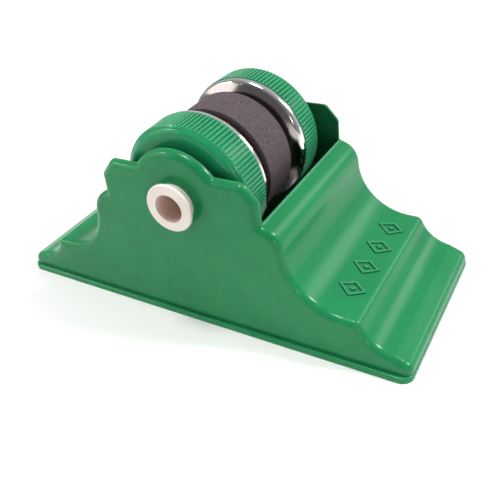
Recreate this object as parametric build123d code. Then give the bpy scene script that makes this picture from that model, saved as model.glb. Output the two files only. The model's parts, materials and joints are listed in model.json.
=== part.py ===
from build123d import *

import os
from math import radians, sqrt, tan

# Roller knife sharpener: an abrasive drum between two polished dishes and two ribbed caps
# turns on a hollow axle, carried by the scalloped cheeks of a moulded stand.
# X runs along the stand, Y along the axle, Z up. The origin is on the floor under the axle's middle.

# ---- Stand, overall ----
base_length = 125.0
base_width = 54.4
base_corner_radius = 3.2
rim_height = 1.6
rim_edge_radius = 0.6
rim_side_step = 1.2          # how far the foot rim stands proud of the side walls
rim_end_step = 0.2           # and of the end walls
wall = 2.2
wall_corner_radius = 2.4
hollow_corner_radius = 1.2
draft_angle = 0.8            # the walls lean in by this much, in degrees, to leave the mould
outline_edge_radius = 2.0    # rounding between the side walls and the outline
stand_height = 54.0          # tall enough to hold every outline before it is trimmed

# ---- Axle line ----
axle_height = 37.0
axle_radius = 5.45
axle_bore_radius = 3.95
axle_gap = 0.4               # between the inner ends of the two axle sleeves
flange_radius = 6.68
flange_outer_y = 28.5
flange_thickness = 1.2
flange_edge_radius = 0.5
running_clearance = 0.06     # radial, between the axle and the cheek holes

# ---- Stand outline, in XZ: corner x, corner z and the radius that rounds it ----
lobe_radius = 14.1           # middle lobe of each cheek, round the axle
lobe_notch_radius = 0.8
shoulder_top = 45.4
shoulder_corners = [
    (19.6, shoulder_top, 2.5),
    (23.4, 41.0, 2.0),
]
lip_x = 23.5                 # top edge of each ramp, where the well begins
lip_z = 34.9
lip_notch_radius = 0.6
ramp_corners = [
    (28.9, 33.5, 6.6),       # shoulder of the ramp
    (30.5, 13.9, 15.7),      # upper scallop
    (48.4, 13.7, 2.3),       # middle ridge
    (51.3, 7.3, 10.2),       # lower scallop
    (57.4, 6.1, 3.0),        # low ridge before the end wall
]
toe_x = 66.0                 # the last slope runs on past the end wall, which trims it
toe_z = 2.5

# ---- Raised pattern on one ramp ----
pattern_count = 4
pattern_pitch = 9.7
pattern_middle_y = 0.7
pattern_ridge_gap = 5.8      # from the middle ridge to the middle of the pattern
pattern_length = 7.2         # of a lozenge, down the ramp
pattern_breadth = 5.8        # of a lozenge, along the ridge
pattern_line = 0.7
pattern_height = 0.35
pattern_pip = 1.3
pattern_sink = 0.3           # how far the pattern's root reaches into the ramp

# ---- Roller ----
drum_radius = 16.8
drum_half_width = 6.6        # of the cylindrical band
drum_edge_radius = 0.9
drum_hub_half_width = 7.6    # where the sloping flanks meet the dishes
core_radius = 9.0            # drum's bore, filled by the core bush

dish_sheet = 0.5
dish_foot_radius = 8.2       # flat middle of the dish, against the drum
dish_dome_radius = 17.6      # where the dome turns into its rounded shoulder
dish_dome_y = 9.8
dish_radius = 18.5
dish_band_y = 10.9           # start of the short cylindrical band
dish_end_y = 11.7

cap_face_y = 21.0
cap_radius = 18.75           # over the ribs
rib_depth = 0.45
rib_count = 102
rib_crest_share = 0.34       # part of the pitch that is crest
rib_root_share = 0.26        # part of the pitch that is root
rib_start_y = 12.0
rib_end_y = 19.9
rib_taper = 0.2              # the ribs are this much lower at the face end
rib_end_chamfer = 0.4
cap_wall = 1.6
cap_face_thickness = 1.8
cap_crown_radius = 2.2
cap_hub_radius = 8.0

spacer_radius = 9.8
spacer_clearance = 0.3       # left between each spacer and the stand's cheek

# ---- Values worked out from the above ----
wall_half_length = base_length / 2 - rim_end_step
wall_half_width = base_width / 2 - rim_side_step
lobe_notch_x = sqrt(lobe_radius**2 - (shoulder_top - axle_height) ** 2)


def half_width_at(height):
    """Half of the stand's outside width at a height, after the draft."""
    return wall_half_width - height * tan(radians(draft_angle))


cheek_inner_y = half_width_at(axle_height + cap_radius) - wall
spacer_thickness = cheek_inner_y - spacer_clearance - cap_face_y


def both_sides(corners):
    """Corners of the right half, then the same corners mirrored to the left half."""
    mirrored = [(-x, z, radius) for x, z, radius in reversed(corners)]
    return corners + mirrored


def rounded_polygon(corners):
    """A face whose corners (x, z, radius) are rounded one by one."""
    outline = Polyline(*[(x, z) for x, z, _ in corners], close=True)
    face = make_face(outline)
    for x, z, radius in corners:
        if radius > 0:
            corner = face.vertices().sort_by_distance(Vector(x, z, 0))[0]
            face = fillet(corner, radius)
    return face


def below_lips(top_corners):
    """A face with the given top corners on each side, and below them the two ramps."""
    toe = [(toe_x, toe_z, 0.0), (toe_x, 0.0, 0.0)]
    return rounded_polygon(both_sides(top_corners + ramp_corners + toe))


def side_outline():
    """The whole side view of the stand: ramps, shoulders and the lobe about the axle."""
    shouldered = below_lips(shoulder_corners + [(lip_x, lip_z, lip_notch_radius)])
    outline = shouldered + Pos(0, axle_height) * Circle(lobe_radius)
    for side in (-1, 1):
        notch = outline.vertices().sort_by_distance(Vector(side * lobe_notch_x, shoulder_top, 0))[0]
        outline = fillet(notch, lobe_notch_radius)
    return outline


def wall_plan(inset, corner_radius):
    """The plan of the stand's walls, inset from their outside."""
    return RectangleRounded(
        2 * (wall_half_length - inset), 2 * (wall_half_width - inset), corner_radius
    )


def drafted_block(plan):
    """The space above a plan, narrowing upwards by the draft."""
    return extrude(plan, stand_height, taper=draft_angle)


def prism(face):
    """A side-view face run across the full width of the stand."""
    return extrude(Plane.XZ * face, base_width / 2, both=True)


def runs_along_the_outline(edge):
    """True for the edges where the side and end walls meet the outline's top faces."""
    middle = edge.position_at(0.5)
    depth = half_width_at(middle.Z) - abs(middle.Y)
    reach = wall_half_length - middle.Z * tan(radians(draft_angle)) - abs(middle.X)
    near_a_wall = depth < wall_corner_radius / 2 or reach < wall_corner_radius / 2
    return near_a_wall and middle.Z > rim_height and edge.bounding_box().min.Z > rim_height / 2


def stand_shell():
    """The outer form with rounded outline edges, hollowed from below and open between the lips."""
    outside = prism(side_outline()) & drafted_block(wall_plan(0.0, wall_corner_radius))
    outside = fillet(outside.edges().filter_by(runs_along_the_outline), outline_edge_radius)
    room = drafted_block(wall_plan(wall, hollow_corner_radius))
    hollow = prism(offset(below_lips([(lip_x, lip_z, 0.0)]), -wall)) & room
    hollow += Pos(0, 0, -wall) * hollow
    well_height = stand_height - lip_z / 2
    well = Pos(0, 0, lip_z / 2) * Box(
        2 * lip_x, base_width, well_height, align=(Align.CENTER, Align.CENTER, Align.MIN)
    )
    return outside - hollow - (well & room)


def foot_rim():
    """The low band round the foot, standing proud of the walls."""
    outside = extrude(RectangleRounded(base_length, base_width, base_corner_radius), rim_height)
    outside = fillet(outside.faces().sort_by(Axis.Z)[-1].edges(), rim_edge_radius)
    inside = extrude(wall_plan(wall, hollow_corner_radius), rim_height)
    return outside - inside


def ramp_skin():
    """A thin layer over both ramps, from just under their surface to the pattern's height."""
    ramps = below_lips([(lip_x, lip_z, 0.0)])
    return prism(offset(ramps, pattern_height)) - prism(offset(ramps, -pattern_sink))


def lozenge(inset):
    """A lozenge in plan, its long corners down the ramp, inset from the pattern's size."""
    half_length = pattern_length / 2 - inset * pattern_length / pattern_breadth
    half_breadth = pattern_breadth / 2 - inset
    corners = [(half_length, 0), (0, half_breadth), (-half_length, 0), (0, -half_breadth)]
    return make_face(Polyline(*corners, close=True))


def raised_pattern():
    """The row of lozenges, each with a pip, that follows the +X ramp above its middle ridge."""
    mark = lozenge(0.0) - lozenge(pattern_line) + lozenge((pattern_breadth - pattern_pip) / 2)
    middle_x = ramp_corners[2][0] - pattern_ridge_gap
    row = []
    for index in range(pattern_count):
        y = pattern_middle_y + (index - (pattern_count - 1) / 2) * pattern_pitch
        row.append(Pos(middle_x, y, wall) * mark)
    skin = ramp_skin()
    return [extrude(mark_plan, stand_height) & skin for mark_plan in row]


def axle_hole():
    """The hole through both cheeks, with the axle's running clearance."""
    return across_axle(Circle(axle_radius + running_clearance), base_width / 2)


def stand_housing():
    """The one-piece moulded stand."""
    stand = stand_shell() + foot_rim()
    for shape in raised_pattern():
        stand += shape
    return stand - axle_hole()


def across_axle(face, half_length):
    """A flat face run along the axle line by half_length each way."""
    return Pos(0, 0, axle_height) * extrude(Plane.XZ * face, half_length, both=True)


def turned(points):
    """A solid turned about the axle line from a closed outline of (radius, y) points."""
    outline = make_face(Polyline(*points, close=True))
    return revolve(outline, Axis.Y)


def on_axle(solid):
    """Lifts a turned solid from the ground up to the axle line."""
    return Pos(0, 0, axle_height) * solid


def axle_sleeve():
    """The +Y half of the hollow axle, with a rounded flange outside the cheek."""
    flange_inner_y = flange_outer_y - flange_thickness
    sleeve = turned([
        (axle_bore_radius, axle_gap / 2),
        (axle_radius, axle_gap / 2),
        (axle_radius, flange_inner_y),
        (flange_radius, flange_inner_y),
        (flange_radius, flange_outer_y),
        (axle_bore_radius, flange_outer_y),
    ])
    rims = sleeve.edges().filter_by(GeomType.CIRCLE).filter_by(
        lambda e: abs(e.radius - flange_radius) < 0.01
    )
    return on_axle(fillet(rims, flange_edge_radius))


def grinding_drum():
    """The abrasive drum: a cylindrical band with flanks that slope out to its hub."""
    points = [
        (core_radius, -drum_hub_half_width),
        (drum_radius, -drum_half_width),
        (drum_radius, drum_half_width),
        (core_radius, drum_hub_half_width),
    ]
    drum = turned(points)
    rims = drum.edges().filter_by(GeomType.CIRCLE).filter_by(
        lambda e: abs(e.radius - drum_radius) < 0.01
    )
    return on_axle(fillet(rims, drum_edge_radius))


def drum_core_bush():
    """The bush that carries the drum on the axle sleeves."""
    ring = Circle(core_radius) - Circle(axle_radius)
    return across_axle(ring, drum_hub_half_width)


def steel_dish():
    """The +Y dish: a flat foot, a dome that rises towards the cap, and a band round its mouth."""
    foot = Line((axle_radius, drum_hub_half_width), (dish_foot_radius, drum_hub_half_width))
    dome = TangentArc(foot @ 1, (dish_dome_radius, dish_dome_y), tangent=foot % 1)
    shoulder = TangentArc(dome @ 1, (dish_radius, dish_band_y), tangent=dome % 1)
    band = Line(shoulder @ 1, (dish_radius, dish_end_y))
    outer = offset(foot + dome + shoulder + band, dish_sheet, side=Side.LEFT)
    return on_axle(revolve(make_face(outer), Axis.Y))


def ribbed_band():
    """The cap's ribbed band, as a solid disc with rib_count flat-topped ribs."""
    pitch = 360 / rib_count
    crest = pitch * rib_crest_share / 2
    root = pitch * (1 - rib_root_share) / 2
    points = []
    for index in range(rib_count):
        middle = index * pitch
        points.append((cap_radius - rib_depth, middle - root))
        points.append((cap_radius, middle - crest))
        points.append((cap_radius, middle + crest))
        points.append((cap_radius - rib_depth, middle + root))
    outline = Polyline(*[Vector(r, 0).rotate(Axis.Z, a) for r, a in points], close=True)
    band = extrude(Plane.XZ * make_face(outline), -(rib_end_y - rib_start_y))
    end_radius = cap_radius - rib_taper
    envelope = turned([
        (0, rib_start_y),
        (cap_radius, rib_start_y),
        (end_radius, rib_end_y - rib_end_chamfer),
        (end_radius - rib_end_chamfer, rib_end_y),
        (0, rib_end_y),
    ])
    return envelope & (Pos(0, rib_start_y, 0) * band)


def end_cap():
    """The +Y cap: a ribbed skirt with a rounded crown, hollow behind its face round a hub."""
    skirt_radius = cap_radius - rib_depth
    disc = turned([(0, dish_end_y), (skirt_radius, dish_end_y),
                   (skirt_radius, cap_face_y), (0, cap_face_y)])
    crown = disc.edges().filter_by(GeomType.CIRCLE).sort_by(Axis.Y)[-1]
    disc = fillet(crown, cap_crown_radius)
    floor_y = cap_face_y - cap_face_thickness
    inner_radius = skirt_radius - cap_wall
    pocket = turned([(cap_hub_radius, 0), (inner_radius, 0),
                     (inner_radius, floor_y), (cap_hub_radius, floor_y)])
    hub_front_y = drum_hub_half_width + dish_sheet
    hub = turned([(axle_radius, hub_front_y), (cap_hub_radius, hub_front_y),
                  (cap_hub_radius, cap_face_y), (axle_radius, cap_face_y)])
    hole = turned([(0, 0), (axle_radius, 0), (axle_radius, flange_outer_y), (0, flange_outer_y)])
    return on_axle(disc + ribbed_band() - pocket + hub - hole)


def spacer_ring():
    """The +Y spacer that keeps the roller off the cheek."""
    outer_y = cap_face_y + spacer_thickness
    return on_axle(turned([(axle_radius, cap_face_y), (spacer_radius, cap_face_y),
                           (spacer_radius, outer_y), (axle_radius, outer_y)]))


def mirrored(solid):
    """The -Y twin of a +Y piece."""
    return mirror(solid, about=Plane.XZ)


rear_cap = end_cap()
rear_dish = steel_dish()
rear_spacer = spacer_ring()
rear_sleeve = axle_sleeve()

parts = {
    "stand_housing": stand_housing(),
    "front_axle_sleeve": mirrored(rear_sleeve),
    "rear_axle_sleeve": rear_sleeve,
    "grinding_drum": grinding_drum(),
    "drum_core_bush": drum_core_bush(),
    "front_steel_dish": mirrored(rear_dish),
    "rear_steel_dish": rear_dish,
    "front_end_cap": mirrored(rear_cap),
    "rear_end_cap": rear_cap,
    "front_spacer_ring": mirrored(rear_spacer),
    "rear_spacer_ring": rear_spacer,
}

os.makedirs("parts", exist_ok=True)
for name, solid in parts.items():
    export_step(solid, f"parts/{name}.step")
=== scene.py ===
import json
from math import cos, radians, sin

import bpy
from mathutils import Matrix, Vector

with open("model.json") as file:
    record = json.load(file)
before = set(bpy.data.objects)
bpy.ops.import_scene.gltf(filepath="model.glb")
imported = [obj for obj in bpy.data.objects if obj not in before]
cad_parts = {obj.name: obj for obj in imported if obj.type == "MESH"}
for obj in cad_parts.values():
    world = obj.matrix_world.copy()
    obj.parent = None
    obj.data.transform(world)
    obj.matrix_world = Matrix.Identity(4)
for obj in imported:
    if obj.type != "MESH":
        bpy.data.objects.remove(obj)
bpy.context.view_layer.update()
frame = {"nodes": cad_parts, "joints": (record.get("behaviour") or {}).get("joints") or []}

# ---- Places on the object that the materials use, in metres ----
AXLE_HEIGHT = frame["joints"][0]["pos_m"][2]
SLEEVE_RADIUS = 0.00545
SLEEVE_BORE_RADIUS = 0.00395
BORE_SHADE_START = 0.0290      # distance along the axle where painted shade in the bore begins
BORE_SHADE_FULL = 0.0272
DRUM_BAND_RADIUS = 0.01660    # the drum's flanks darken with painted shade from just inside its rounded edge to full at this radius
DRUM_FLANK_RADIUS = 0.01625   # to full at this radius
DRUM_BAND_HALF_WIDTH = 0.00565
DRUM_FLANK_HALF_WIDTH = 0.00605
DISH_RIM_RADIUS = 0.0182      # outside this the dish has no painted dark reflection
DISH_DARK_REFLECTION_RADIUS = 0.0177     # inside this it has its full painted dark reflection
WALL_DRAFT = 0.014            # how far the cheeks lean in, for each metre of height
CHEEK_EDGE_Y = 0.02405        # at floor height, where painted shade on the cheek's inner face ends
CHEEK_INNER_Y = 0.02385
WELL_END_X = 0.0234           # along the stand, where the same painted shade ends
WELL_FULL_X = 0.0231

# ---- Camera ----
CAMERA_TARGET = Vector((0.00395, 0.0, 0.00644))
CAMERA_DISTANCE = 0.1918
CAMERA_YAW = 33.2
CAMERA_PITCH = 35.4
CAMERA_ROLL = -6.7
CAMERA_LENS = 45.6
CAMERA_SENSOR = 36.0


def add_camera():
    """The camera above the +X ramp's near corner, turned by its roll."""
    yaw = radians(CAMERA_YAW)
    pitch = radians(CAMERA_PITCH)
    roll = radians(CAMERA_ROLL)
    back = Vector((sin(yaw) * cos(pitch), -cos(yaw) * cos(pitch), sin(pitch)))
    level_right = Vector((cos(yaw), sin(yaw), 0.0))
    level_up = back.cross(level_right)
    right = cos(roll) * level_right + sin(roll) * level_up
    up = -sin(roll) * level_right + cos(roll) * level_up
    data = bpy.data.cameras.new("camera")
    data.lens = CAMERA_LENS
    data.sensor_width = CAMERA_SENSOR
    data.clip_start = 0.01
    data.clip_end = 20.0
    camera = bpy.data.objects.new("camera", data)
    placement = Matrix((right, up, back)).transposed().to_4x4()
    placement.translation = CAMERA_TARGET + back * CAMERA_DISTANCE
    camera.matrix_world = placement
    bpy.context.scene.collection.objects.link(camera)
    bpy.context.scene.camera = camera


# ---- Light ----
LIGHT_AIM = Vector((0.0, 0.0, 0.02))
WHITE = (1.0, 1.0, 1.0)


def add_area_light(name, place, width, depth, power, colour):
    """A soft rectangular light at a place, facing the object."""
    data = bpy.data.lights.new(name, "AREA")
    data.shape = "RECTANGLE"
    data.size = width
    data.size_y = depth
    data.energy = power
    data.color = colour
    light = bpy.data.objects.new(name, data)
    light.location = place
    light.rotation_euler = (LIGHT_AIM - Vector(place)).to_track_quat("-Z", "Y").to_euler()
    bpy.context.scene.collection.objects.link(light)


def add_lights():
    """Softboxes above, on the left and behind, a hard light on the right, and two small glints."""
    add_area_light("overhead_light", (-0.10, -0.06, 1.40), 0.30, 0.30, 10.4, (1.0, 0.99, 0.97))
    add_area_light("left_light", (-0.98, -0.64, 0.52), 0.95, 0.75, 4.6, (1.0, 0.98, 0.95))
    add_area_light("back_light", (0.73, 1.01, 0.64), 0.34, 0.45, 1.7, (0.97, 0.99, 1.0))
    add_area_light("right_light", (0.78, 0.42, 0.94), 0.24, 0.24, 8.8, WHITE)
    add_area_light("front_glint", (0.80, -0.82, 0.31), 0.06, 0.06, 0.9, WHITE)
    add_area_light("left_glint", (-0.80, -0.46, 0.78), 0.07, 0.07, 1.6, WHITE)


SURROUND_FRONT = 0.18
SURROUND_BACK = 0.60


def set_world():
    """A pale surround, brighter behind the object than in front of it."""
    world = bpy.data.worlds.new("surround")
    world.use_nodes = True
    tree = world.node_tree
    background = tree.nodes["Background"]
    background.inputs["Color"].default_value = (0.96, 0.98, 1.0, 1.0)
    split = tree.nodes.new("ShaderNodeSeparateXYZ")
    tree.links.new(tree.nodes.new("ShaderNodeTexCoord").outputs["Generated"], split.inputs[0])
    fade = tree.nodes.new("ShaderNodeMapRange")
    tree.links.new(split.outputs["Y"], fade.inputs["Value"])
    fade.inputs["From Min"].default_value = -0.6
    fade.inputs["From Max"].default_value = 0.8
    fade.inputs["To Min"].default_value = SURROUND_FRONT
    fade.inputs["To Max"].default_value = SURROUND_BACK
    tree.links.new(fade.outputs["Result"], background.inputs["Strength"])
    bpy.context.scene.world = world


# ---- Material building blocks ----
class Builder:
    """Adds nodes to one material, with its Principled shader at the end."""

    def __init__(self, name):
        self.material = bpy.data.materials.new(name)
        self.material.use_nodes = True
        self.tree = self.material.node_tree
        self.shader = self.tree.nodes["Principled BSDF"]
        self.place = self.node("ShaderNodeTexCoord").outputs["Object"]

    def node(self, kind, **settings):
        """A new node with some of its properties set."""
        made = self.tree.nodes.new(kind)
        for key, value in settings.items():
            setattr(made, key, value)
        return made

    def join(self, source, socket):
        """Links an output to an input."""
        self.tree.links.new(source, socket)

    def math(self, operation, first, second=None, third=None):
        """A math node on sockets or numbers."""
        made = self.node("ShaderNodeMath", operation=operation)
        for index, value in enumerate((first, second, third)):
            if value is None:
                continue
            if isinstance(value, (int, float)):
                made.inputs[index].default_value = value
            else:
                self.join(value, made.inputs[index])
        return made.outputs[0]

    def noise(self, scale, detail=3.0, roughness=0.5, place=None, distortion=0.0):
        """Smooth noise; scale is in cycles per metre."""
        made = self.node("ShaderNodeTexNoise")
        made.inputs["Scale"].default_value = scale
        made.inputs["Detail"].default_value = detail
        made.inputs["Roughness"].default_value = roughness
        made.inputs["Distortion"].default_value = distortion
        self.join(place or self.place, made.inputs["Vector"])
        return made.outputs["Fac"]

    def ramp(self, value, low, high, from_value=0.0, to_value=1.0):
        """value, rescaled from low..high to from_value..to_value and clamped."""
        made = self.node("ShaderNodeMapRange", clamp=True)
        self.join(value, made.inputs["Value"])
        made.inputs["From Min"].default_value = low
        made.inputs["From Max"].default_value = high
        made.inputs["To Min"].default_value = from_value
        made.inputs["To Max"].default_value = to_value
        return made.outputs["Result"]

    def mix(self, factor, first, second):
        """A colour between two colours, which are sockets or (r, g, b)."""
        made = self.node("ShaderNodeMix", data_type="RGBA")
        self.join(factor, made.inputs[0])
        for index, colour in ((6, first), (7, second)):
            if isinstance(colour, tuple):
                made.inputs[index].default_value = (*colour, 1.0)
            else:
                self.join(colour, made.inputs[index])
        return made.outputs[2]

    def edges(self, radius):
        """1 on outward edges sharper than the radius, and 0 on open faces and in corners."""
        shade = self.node("ShaderNodeAmbientOcclusion", samples=8, inside=True)
        shade.inputs["Distance"].default_value = radius
        return self.ramp(shade.outputs["AO"], 0.92, 0.62)

    def crevice(self, distance):
        """1 deep in the piece's own crevices, and 0 on open faces."""
        shade = self.node("ShaderNodeAmbientOcclusion", samples=8, only_local=True)
        shade.inputs["Distance"].default_value = distance
        return self.ramp(shade.outputs["AO"], 0.75, 0.25)

    def from_axle(self):
        """Distance from the axle line, and distance along it from the middle."""
        split = self.node("ShaderNodeSeparateXYZ")
        self.join(self.place, split.inputs[0])
        height = self.math("SUBTRACT", split.outputs["Z"], AXLE_HEIGHT)
        across = self.math("MULTIPLY", split.outputs["X"], split.outputs["X"])
        radius = self.math("SQRT", self.math("MULTIPLY_ADD", height, height, across))
        return radius, self.math("ABSOLUTE", split.outputs["Y"])

    def bumps(self, *layers):
        """Stacks bump layers of (height socket, strength, distance) on the normal."""
        normal = None
        for height, strength, distance in layers:
            bump = self.node("ShaderNodeBump")
            bump.inputs["Strength"].default_value = strength
            bump.inputs["Distance"].default_value = distance
            self.join(height, bump.inputs["Height"])
            if normal:
                self.join(normal, bump.inputs["Normal"])
            normal = bump.outputs["Normal"]
        self.join(normal, self.shader.inputs["Normal"])

    def finish(self, colour, roughness, **fixed):
        """Sets the shader's colour, roughness and uniform values."""
        self.join(colour, self.shader.inputs["Base Color"])
        self.join(roughness, self.shader.inputs["Roughness"])
        for key, value in fixed.items():
            self.shader.inputs[key.replace("_", " ")].default_value = value
        return self.material


# ---- Materials ----
# Dark green painted in as shade: in crevices, in deep gaps and on the well's inner faces.
PAINTED_SHADE_GREEN = (0.010, 0.046, 0.022)


def well_walls(b):
    """1 on the inner faces of the stand's cheeks, which lean in by the draft, and 0 elsewhere."""
    split = b.node("ShaderNodeSeparateXYZ")
    b.join(b.place, split.inputs[0])
    across = b.math("ABSOLUTE", split.outputs["Y"])
    level = b.math("MULTIPLY_ADD", split.outputs["Z"], WALL_DRAFT, across)
    along = b.math("ABSOLUTE", split.outputs["X"])
    on_cheek = b.ramp(level, CHEEK_EDGE_Y, CHEEK_INNER_Y)
    return b.math("MULTIPLY", on_cheek, b.ramp(along, WELL_END_X, WELL_FULL_X))


def moulded_plastic(name, deep, fresh, wear_and_highlight, rough_base, shaded_well=False):
    """Injection-moulded plastic: colour drift, flow marks, rubbed edges that are partly a painted
    highlight, scuffs, painted shade in corners and gaps.
    """
    b = Builder(name)
    stretched = b.node("ShaderNodeMapping")
    stretched.inputs["Scale"].default_value = (1.0, 0.10, 1.0)
    b.join(b.place, stretched.inputs["Vector"])
    drift = b.noise(38.0, 2.0, 0.5)
    flow = b.noise(190.0, 2.0, 0.5, stretched.outputs["Vector"], 0.3)
    scuff = b.noise(2600.0, 4.0, 0.7)
    blend = b.math("ADD", b.math("MULTIPLY", drift, 0.5), b.math("MULTIPLY", flow, 0.5))
    body = b.mix(b.ramp(blend, 0.35, 0.65), deep, fresh)
    # Rubbed edges painted lighter: partly wear, partly a painted highlight along sharp edges.
    edge_mark = b.math("MULTIPLY", b.edges(0.0007), b.ramp(scuff, 0.35, 0.7))
    body = b.mix(b.math("MULTIPLY", edge_mark, 0.55), body, wear_and_highlight)
    # Painted shade: darker green in small crevices and in deep gaps and wells.
    body = b.mix(b.math("MULTIPLY", b.crevice(0.0022), 0.18), body, PAINTED_SHADE_GREEN)
    body = b.mix(b.math("MULTIPLY", b.crevice(0.0160), 0.90), body, PAINTED_SHADE_GREEN)
    # Painted shade: the well's inner cheek faces are darkened towards dark green.
    if shaded_well:
        cover = b.ramp(blend, 0.3, 0.7, 0.50, 0.75)
        body = b.mix(b.math("MULTIPLY", well_walls(b), cover), body, PAINTED_SHADE_GREEN)
    patchy = b.ramp(flow, 0.3, 0.7, rough_base - 0.05, rough_base + 0.06)
    rough = b.math("ADD", patchy, b.math("MULTIPLY", edge_mark, 0.12))
    rough = b.math("ADD", rough, b.ramp(scuff, 0.4, 0.8, 0.0, 0.07))
    b.bumps((flow, 0.34, 0.0010), (b.noise(700.0, 3.0, 0.6), 0.06, 0.0002), (scuff, 0.04, 0.0001))
    return b.finish(body, rough, IOR=1.45, Specular_IOR_Level=0.06, Coat_Weight=0.44, Coat_Roughness=0.20)


def polished_steel(name):
    """Pressed sheet, polished on a lathe: rings round the axle, a painted dark reflection inside a plain
    rim, painted shade in corners.
    """
    b = Builder(name)
    radius, along = b.from_axle()
    rings = b.node("ShaderNodeCombineXYZ")
    b.join(radius, rings.inputs["X"])
    b.join(along, rings.inputs["Y"])
    turning = b.noise(5200.0, 3.0, 0.7, rings.outputs["Vector"])
    smear = b.noise(120.0, 3.0, 0.55)
    body = b.mix(b.ramp(smear, 0.3, 0.75), (0.84, 0.83, 0.81), (0.72, 0.70, 0.68))
    # Painted reflection: a dark brownish tone over the dish inside its rim.
    dark_reflection = b.ramp(radius, DISH_RIM_RADIUS, DISH_DARK_REFLECTION_RADIUS, 0.0, 0.80)
    body = b.mix(dark_reflection, body, (0.36, 0.30, 0.29))
    # Painted shade: darker in the corners.
    body = b.mix(b.math("MULTIPLY", b.crevice(0.002), 0.5), body, (0.16, 0.13, 0.12))
    rough = b.math("ADD", b.ramp(smear, 0.35, 0.75, 0.07, 0.16), b.ramp(turning, 0.3, 0.7, 0.0, 0.05))
    rough = b.math("ADD", rough, b.math("MULTIPLY", b.edges(0.0003), 0.10))
    b.bumps((turning, 0.10, 0.00004), (smear, 0.10, 0.0004))
    return b.finish(body, rough, Metallic=1.0)


def bonded_grit(name):
    """Grey-purple bonded abrasive: fine grains, pale specks, a used band, painted shade darkening the
    flanks.
    """
    b = Builder(name)
    radius, along = b.from_axle()
    grain = b.noise(2600.0, 3.0, 0.75)
    cloud = b.noise(130.0, 3.0, 0.6)
    cells = b.node("ShaderNodeTexVoronoi", feature="F1")
    cells.inputs["Scale"].default_value = 2300.0
    b.join(b.place, cells.inputs["Vector"])
    tone = b.node("ShaderNodeSeparateColor")
    b.join(cells.outputs["Color"], tone.inputs[0])
    chosen = b.ramp(tone.outputs["Red"], 0.955, 0.985)
    speck = b.math("MULTIPLY", chosen, b.ramp(cells.outputs["Distance"], 0.45, 0.2))
    pit = b.ramp(tone.outputs["Green"], 0.90, 0.96)
    body = b.mix(b.ramp(grain, 0.30, 0.70), (0.052, 0.037, 0.043), (0.132, 0.100, 0.114))
    body = b.mix(b.ramp(cloud, 0.35, 0.75, 0.0, 0.35), body, (0.088, 0.062, 0.067))
    body = b.mix(b.math("MULTIPLY", pit, 0.6), body, (0.030, 0.022, 0.026))
    body = b.mix(b.math("MULTIPLY", speck, 0.55), body, (0.42, 0.38, 0.40))
    # Painted shade: the flanks go near black.
    inward = b.ramp(radius, DRUM_BAND_RADIUS, DRUM_FLANK_RADIUS)
    outward = b.ramp(along, DRUM_BAND_HALF_WIDTH, DRUM_FLANK_HALF_WIDTH)
    flank_shade = b.math("MAXIMUM", inward, outward)
    body = b.mix(b.math("MULTIPLY", flank_shade, 0.88), body, (0.012, 0.005, 0.006))
    used = b.math("MULTIPLY", b.edges(0.0006), b.ramp(grain, 0.35, 0.65))
    body = b.mix(b.math("MULTIPLY", used, 0.30), body, (0.26, 0.22, 0.23))
    rough = b.ramp(grain, 0.3, 0.7, 0.95, 0.78)
    b.bumps((cloud, 0.10, 0.0008), (grain, 0.55, 0.00018), (cells.outputs["Distance"], 0.35, 0.00012))
    return b.finish(body, rough, IOR=1.50, Specular_IOR_Level=0.40)


def satin_plastic(name, pale, shade, grime_and_shade, rough_base, bore_radius):
    """Natural plastic: faint moulding rings, slow tint changes, painted shade in the corners and down the
    bore, grime on worn edges.
    """
    b = Builder(name)
    radius, along = b.from_axle()
    tint = b.noise(160.0, 3.0, 0.55)
    scuff = b.noise(2400.0, 4.0, 0.7)
    rings = b.node("ShaderNodeCombineXYZ")
    b.join(radius, rings.inputs["X"])
    b.join(along, rings.inputs["Y"])
    ripple = b.noise(1500.0, 2.0, 0.5, rings.outputs["Vector"])
    body = b.mix(b.ramp(tint, 0.3, 0.7), pale, shade)
    # Painted shade in the corners.
    corner_shade = b.math("MULTIPLY", b.crevice(0.003), b.ramp(scuff, 0.25, 0.65))
    body = b.mix(b.math("MULTIPLY", corner_shade, 0.75), body, grime_and_shade)
    # Painted shade down the bore, darker deeper in.
    bore = b.ramp(radius, bore_radius + 0.00012, bore_radius + 0.00002)
    uneven = b.math("MULTIPLY_ADD", tint, 0.0012, along)
    deep = b.ramp(uneven, BORE_SHADE_START, BORE_SHADE_FULL, 0.15, 0.85)
    body = b.mix(b.math("MULTIPLY", bore, deep), body, grime_and_shade)
    edge_mark = b.math("MULTIPLY", b.edges(0.0004), b.ramp(scuff, 0.4, 0.7))
    body = b.mix(b.math("MULTIPLY", edge_mark, 0.25), body, grime_and_shade)
    patchy = b.ramp(tint, 0.3, 0.7, rough_base - 0.05, rough_base + 0.05)
    rough = b.math("ADD", patchy, b.math("MULTIPLY", edge_mark, 0.15))
    b.bumps((ripple, 0.12, 0.0002), (scuff, 0.10, 0.0001))
    return b.finish(body, rough, IOR=1.50, Subsurface_Weight=0.12, Subsurface_Scale=0.002)


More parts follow.
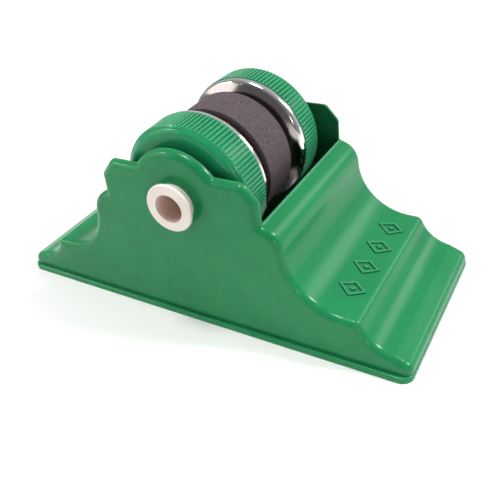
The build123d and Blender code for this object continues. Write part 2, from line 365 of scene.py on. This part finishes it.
def dress_nodes():
    """Gives every CAD node its finished material."""
    stand_green = moulded_plastic(
        "stand_green",
        deep=(0.009, 0.202, 0.067),
        fresh=(0.013, 0.240, 0.083),
        wear_and_highlight=(0.17, 0.52, 0.33),
        rough_base=0.28,
        shaded_well=True,
    )
    # The caps are painted a lighter, bluer green than the stand: painted light for the light they catch.
    cap_green = moulded_plastic(
        "cap_green",
        deep=(0.012, 0.250, 0.096),
        fresh=(0.018, 0.296, 0.118),
        wear_and_highlight=(0.17, 0.54, 0.35),
        rough_base=0.28,
    )
    steel = polished_steel("mirror_steel")
    grit = bonded_grit("drum_grit")
    sleeve = satin_plastic(
        "sleeve_white",
        pale=(0.88, 0.81, 0.76),
        shade=(0.80, 0.71, 0.65),
        grime_and_shade=(0.74, 0.52, 0.42),
        rough_base=0.38,
        bore_radius=SLEEVE_BORE_RADIUS,
    )
    core = satin_plastic(
        "core_nylon",
        pale=(0.60, 0.58, 0.53),
        shade=(0.50, 0.47, 0.42),
        grime_and_shade=(0.16, 0.12, 0.10),
        rough_base=0.5,
        bore_radius=SLEEVE_RADIUS,
    )
    finishes = {
        "stand_housing": stand_green,
        "front_end_cap": cap_green,
        "rear_end_cap": cap_green,
        "front_steel_dish": steel,
        "rear_steel_dish": steel,
        "grinding_drum": grit,
        "front_axle_sleeve": sleeve,
        "rear_axle_sleeve": sleeve,
        "drum_core_bush": core,
        "front_spacer_ring": core,
        "rear_spacer_ring": core,
    }
    for name, material in finishes.items():
        for slot in frame["nodes"][name].material_slots:
            slot.material = material


# ---- Floor ----
def add_floor():
    """A plain, flat, pale floor with a faint unevenness."""
    b = Builder("floor_paint")
    mottle = b.noise(9.0, 4.0, 0.6)
    colour = b.mix(b.ramp(mottle, 0.3, 0.7), (0.92, 0.92, 0.92), (0.96, 0.96, 0.96))
    b.bumps((b.noise(300.0, 3.0, 0.5), 0.04, 0.001))
    material = b.finish(colour, b.ramp(mottle, 0.3, 0.7, 0.55, 0.65))
    reach = 4.0
    mesh = bpy.data.meshes.new("floor")
    signs = [(-1, -1), (1, -1), (1, 1), (-1, 1)]
    corners = [(reach * x, reach * y, 0.0) for x, y in signs]
    mesh.from_pydata(corners, [], [(0, 1, 2, 3)])
    mesh.materials.append(material)
    floor = bpy.data.objects.new("floor", mesh)
    bpy.context.scene.collection.objects.link(floor)


add_camera()
add_lights()
set_world()
dress_nodes()
add_floor()
bpy.context.scene.view_settings.view_transform = "Standard"
